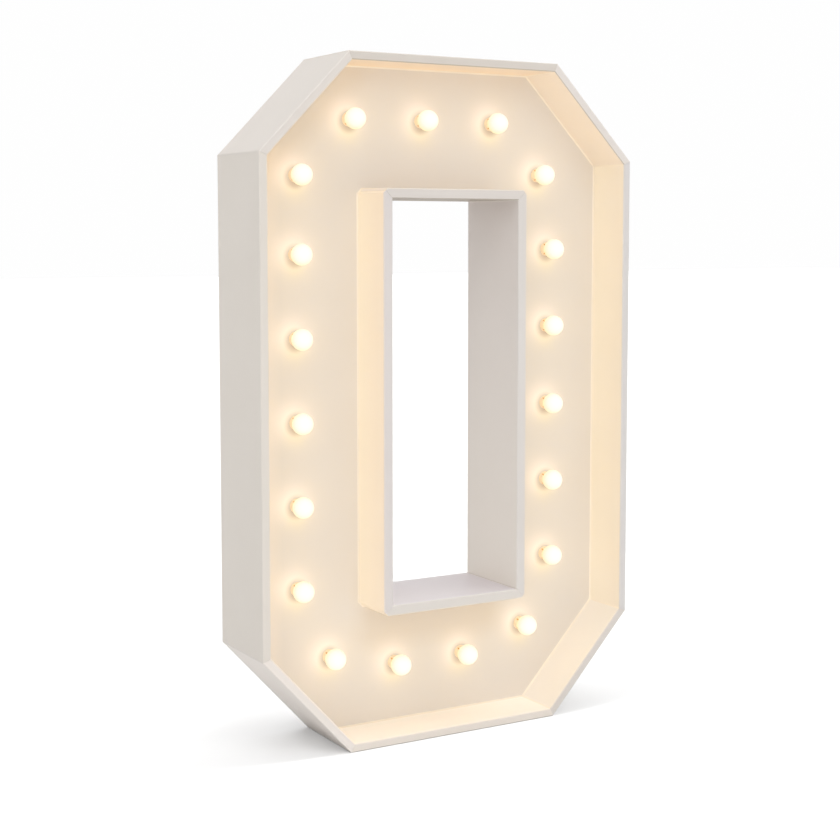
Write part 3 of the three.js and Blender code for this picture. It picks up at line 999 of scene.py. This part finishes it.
def screwMesh(material):
    radius, height, rim = screw["headRadius"], screw["headHeight"], screw["headRim"]
    rows = screw["rows"]
    profile = [(0, 0), (radius, 0), (radius, height * rim)]
    for row in range(1, rows):
        angle = math.pi / 2 * row / rows
        profile.append((radius * math.cos(angle), height * (rim + (1 - rim) * math.sin(angle))))
    profile.append((0, height))
    headMesh = turnedMesh("screwHead", lambda angle: profile, evenAngles(screw["around"]), material)
    head = bpy.data.objects.new("screwHead", headMesh)
    bpy.context.scene.collection.objects.link(head)
    cutters = []
    bar = (screw["crossWidth"], screw["crossLength"])
    for width, length in (bar, bar[::-1]):
        shape = bmesh.new()
        bmesh.ops.create_cube(shape, size=1)
        bmesh.ops.scale(shape, vec=(width, length, 2 * screw["crossDepth"]), verts=shape.verts[:])
        bmesh.ops.translate(shape, vec=(0, 0, height), verts=shape.verts[:])
        cutter = bpy.data.objects.new("cutter", finishMesh("cutter", shape, None))
        bpy.context.scene.collection.objects.link(cutter)
        cut = head.modifiers.new("cross", "BOOLEAN")
        cut.operation = "DIFFERENCE"
        cut.object = cutter
        cutters.append(cutter)
    bpy.context.view_layer.update()
    shape = bmesh.new()
    shape.from_mesh(head.evaluated_get(bpy.context.evaluated_depsgraph_get()).to_mesh())
    mesh = finishMesh("screw", shape, material, screw["sharp"])
    for spare in cutters + [head]:
        bpy.data.objects.remove(spare)
    return mesh


# how the cover's corners are told apart: on its back face, at its edge, above its cutouts
coverCorners = {"depth": 0.0005, "edgeShare": 0.999, "above": 0.15, "digits": 4}


# the two outlines that the screws follow, taken from the cover's own corners
def coverOutlines():
    places = [vertex.co for vertex in nodes["rear_cover"].data.vertices]
    back = max(place.y for place in places) - coverCorners["depth"]
    digits = coverCorners["digits"]
    points = {(round(place.x, digits), round(place.z, digits)) for place in places if place.y > back}
    low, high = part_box("rear_cover")
    middle, half = (low.z + high.z) / 2, (high.z - low.z) / 2

    def atEdge(point):
        return max(abs(point[0]) / high.x, abs(point[1] - middle) / half) > coverCorners["edgeShare"]

    def byOpening(point):
        return abs(point[0]) < high.x / 2 and point[1] > coverCorners["above"] and not atEdge(point)

    def around(point):
        return math.atan2(point[1] - middle, point[0])

    outer = sorted(filter(atEdge, points), key=around)
    inner = sorted(filter(byOpening, points), key=around)
    print("cover corners:", len(outer), "outside and", len(inner), "inside")
    return outer, inner


def screwPlaces():
    outer, inner = coverOutlines()
    places = []
    for ring, side in ((outer, 1), (inner, -1)):
        for index, start in enumerate(ring):
            first, last = Vector(start), Vector(ring[(index + 1) % len(ring)])
            run = last - first
            inward = Vector((-run.y, run.x)).normalized() * side * screw["inset"]
            count = max(2, round(run.length / screw["spacing"]))
            for step in range(count):
                share = screw["endShare"] + (1 - 2 * screw["endShare"]) * step / (count - 1)
                places.append(first + run * share + inward)
    return places


def addScrews():
    mesh = screwMesh(makeMetal("screwSteel"))
    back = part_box("rear_cover")[1].y
    places = screwPlaces()
    for index, place in enumerate(places):
        name, turn = "screw%02d" % (index + 1), (outOfBack[0], math.radians(screw["turn"] * index), 0)
        meshPiece(name, mesh, "casing", (place.x, back, place.y), turn)
    print("screws driven:", len(places))


# on and off marks on the rocker: a bar on its upper half, a ring on its lower
marks = {
    "size": 0.0026,
    "stroke": 0.00045,
    "rise": 0.00006,
    "place": 0.0043,
    "valley": 0.0024,
    "slope": 0.237,
    "around": 40,
    "colour": (232, 232, 230),
    "grime": (206, 206, 204),
    "grimeScale": 4000,
    "detail": 2,
    "roughness": 0.5,
}
rocker = {"tilt": 12, "pivot": -0.0002}  # pivot measured out from the cover's outer face


def barShape(shape, width, length, low, high):
    bmesh.ops.create_cube(shape, size=1)
    bmesh.ops.scale(shape, vec=(width, length, high - low), verts=shape.verts[:])
    bmesh.ops.translate(shape, vec=(0, 0, (low + high) / 2), verts=shape.verts[:])


def ringShape(shape, outer, inner, low, high):
    loops = []
    for radius, along in ((outer, low), (outer, high), (inner, high), (inner, low)):
        loops.append([
            shape.verts.new((radius * math.cos(angle), radius * math.sin(angle), along))
            for angle in evenAngles(marks["around"])
        ])
    joinLoops(shape, loops)


def addMarks():
    finish = Finish("markWhite")
    grime = finish.noise(marks["grimeScale"], marks["detail"])
    material = finish.surface({
        "Base Color": finish.blend(grime, linear(*marks["colour"]), linear(*marks["grime"])),
        "Roughness": marks["roughness"],
    })
    low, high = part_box("switch_body")
    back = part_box("rear_cover")[1].y
    pivot = Vector(((low.x + high.x) / 2, back + rocker["pivot"], (low.z + high.z) / 2))
    tilt, rise = math.radians(rocker["tilt"]), marks["rise"]
    out = marks["valley"] + marks["slope"] * marks["place"]
    for name, side in (("markOn", 1), ("markOff", -1)):
        shape = bmesh.new()
        if side > 0:
            barShape(shape, marks["stroke"], marks["size"], -rise, rise)
        else:
            ringShape(shape, marks["size"] / 2, marks["size"] / 2 - marks["stroke"], -rise, rise)
        up = side * marks["place"]
        along = out * math.cos(tilt) - up * math.sin(tilt)
        place = pivot + Vector((0, along, out * math.sin(tilt) + up * math.cos(tilt)))
        turn = (tilt - math.pi / 2 - side * math.atan(marks["slope"]), 0, 0)
        meshPiece(name, finishMesh(name, shape, material), "switch_rocker", place, turn)
    print("rocker marked")


# metal pins in the inlet's socket
pins = {
    "width": 0.0022,
    "height": 0.0042,
    "reach": 0.0112,
    "floor": -0.0117,
    "spread": 0.007,
    "drop": 0.002,
    "edge": 0.0003,
    "segments": 2,
}


def addPins():
    material = makeMetal("pinSteel")
    low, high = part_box("power_inlet")
    middle = Vector(((low.x + high.x) / 2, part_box("rear_cover")[1].y, (low.z + high.z) / 2))
    edge = {"offset": pins["edge"], "segments": pins["segments"], "profile": 0.5, "affect": "EDGES"}
    for name, across, up in (("pinLive", -1, -1), ("pinEarth", 0, 1), ("pinNeutral", 1, -1)):
        shape = bmesh.new()
        barShape(shape, pins["width"], pins["height"], 0, pins["reach"])
        bmesh.ops.bevel(shape, geom=shape.edges[:], **edge)
        place = middle + Vector((across * pins["spread"], pins["floor"], up * pins["drop"]))
        mesh = finishMesh(name, shape, material)
        meshPiece(name, mesh, "casing", place, outOfBack)
    print("inlet pins fitted")


# a plain pale floor and soft studio light; a sun's level is what a white wall facing it would show
studio = {
    "floorSize": 60,
    "floorColour": (0.45, 0.45, 0.45),
    "floorBounce": (0.39, 0.39, 0.39),
    "floorRoughness": 0.9,
    "floorLift": 0.2,
    "backdrop": 0.994,
    "ambient": 0.42,
    "suns": [  # name, what it lights, where it shines from, its level, its softness in degrees
        ("camera side", objectOnly, (-0.25, -0.42, 0.28), 0.3, 70),
        ("overhead", objectOnly, (0.25, -0.05, 1.0), 0.42, 35),
        ("floor right", floorOnly, (0.96, -0.12, 0.26), 1.49, 12),
        ("floor left", floorOnly, (-0.64, -0.09, 0.76), 0.52, 20),
        ("floor front", floorOnly, (0.04, -0.83, 0.55), 0.635, 46),
        ("floor top", floorOnly, (0.03, 0.12, 0.99), 0.68, 77),
    ],
}


def addFloor():  # seen brighter than the light it throws back at the object
    finish = Finish("floorWhite")
    seen = finish.node("ShaderNodeLightPath", output="Is Camera Ray")
    material = finish.surface({
        "Base Color": finish.blend(seen, studio["floorBounce"], studio["floorColour"]),
        "Roughness": studio["floorRoughness"],
        "Emission Color": (1, 1, 1, 1),
        "Emission Strength": seen * studio["floorLift"],
    })
    shape = bmesh.new()
    bmesh.ops.create_grid(shape, x_segments=1, y_segments=1, size=studio["floorSize"] / 2)
    floor = bpy.data.objects.new("floor", finishMesh("floor", shape, material))
    bpy.context.scene.collection.objects.link(floor)
    floorOnly.objects.link(floor)
    objectOnly.objects.link(floor)
    objectOnly.collection_objects[0].light_linking.link_state = "EXCLUDE"


def addBackdrop():  # seen, and mirrored, brighter than the light it gives
    finish = Finish("studio", bpy.data.worlds)
    seen = finish.node("ShaderNodeLightPath", output="Is Camera Ray")
    for ray in ("Is Glossy Ray", "Is Transmission Ray"):
        seen = seen.math("MAXIMUM", seen, finish.node("ShaderNodeLightPath", output=ray))
    levels = {"Value": seen, "To Min": studio["ambient"], "To Max": studio["backdrop"]}
    strength = finish.node("ShaderNodeMapRange", sockets=levels)
    light = finish.node("ShaderNodeBackground", sockets={"Color": (1, 1, 1, 1), "Strength": strength})
    finish.node("ShaderNodeOutputWorld", sockets={"Surface": light})
    bpy.context.scene.world = finish.material


def addSuns():
    for name, lit, source, level, softness in studio["suns"]:
        data = bpy.data.lights.new(name, "SUN")
        data.energy = level * math.pi
        data.angle = math.radians(softness)
        sun = bpy.data.objects.new(name, data)
        bpy.context.scene.collection.objects.link(sun)
        sun.rotation_euler = Vector(source).to_track_quat("Z", "Y").to_euler()
        sun.light_linking.receiver_collection = lit
    print("stage set")


makeCamera()
dressBoards()
addFiller()
addBulbs()
addHolders()
dressEntry()
addScrews()
addMarks()
addPins()
addFloor()
addBackdrop()
addSuns()
bpy.context.scene.view_settings.view_transform = "Standard"
